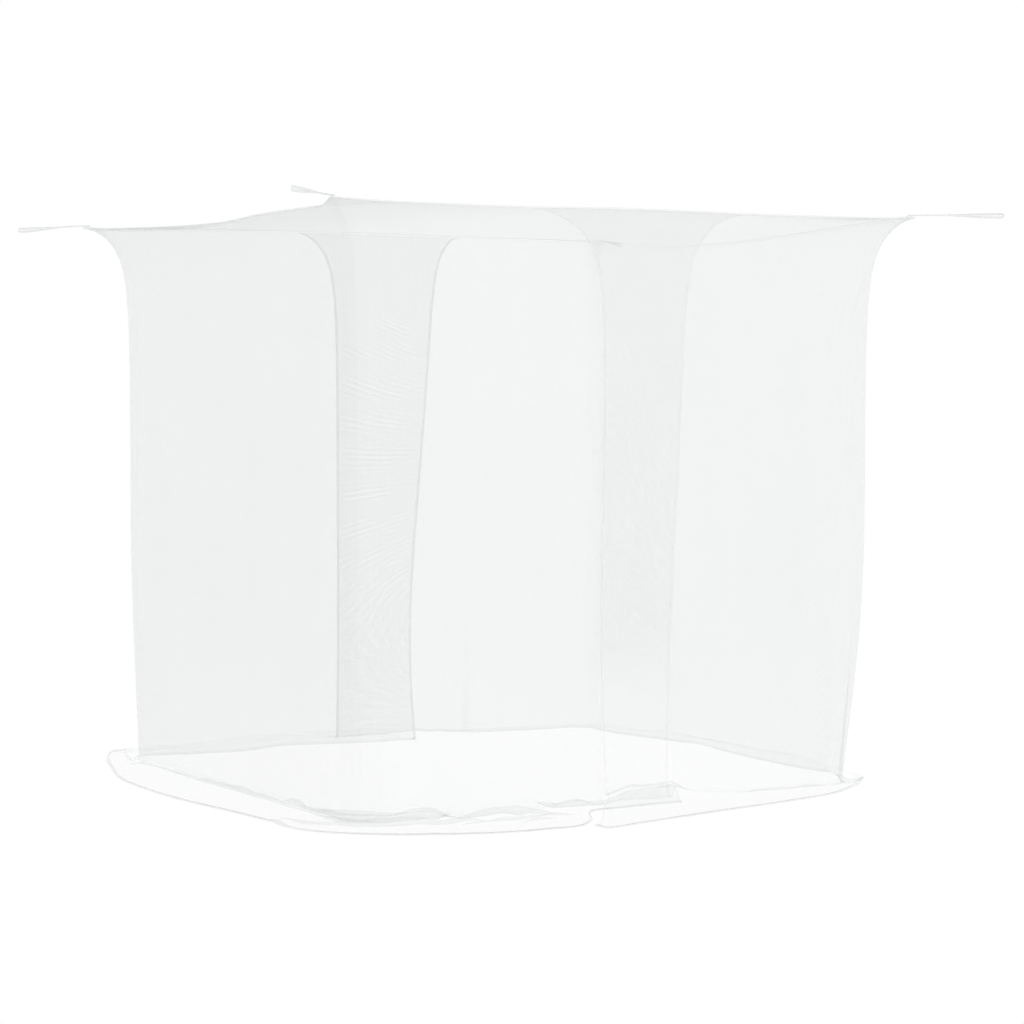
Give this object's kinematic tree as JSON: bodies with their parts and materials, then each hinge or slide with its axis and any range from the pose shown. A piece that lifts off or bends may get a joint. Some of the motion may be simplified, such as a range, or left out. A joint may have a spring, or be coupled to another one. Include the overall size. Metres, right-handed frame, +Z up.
{
  "type": "mosquito net canopy",
  "caption": "Box-shaped white mosquito net with a flat roof panel, two wide lapping curtains that pile up on the floor, an edge binding and long hanging loops at its corners.",
  "frame": {"origin": "middle of the outer box in plan, at the height of the floor that the net's foot lies on", "axes": "+X to the right as seen from the front, +Y from the front to the back, +Z up"},
  "size_m": [2.541, 2.5286, 1.8527],
  "materials": {
    "white_net": "matt",
    "woven_tape": "matt"
  },
  "bodies": {
    "root": {"roof_panel": "white_net", "curtain_left": "white_net", "curtain_right": "white_net", "edge_binding": "woven_tape", "hanging_loop_front_left": "woven_tape", "hanging_loop_front_right": "woven_tape", "hanging_loop_back_right": "woven_tape", "hanging_loop_back_left": "woven_tape"}
  },
  "joints": []
}
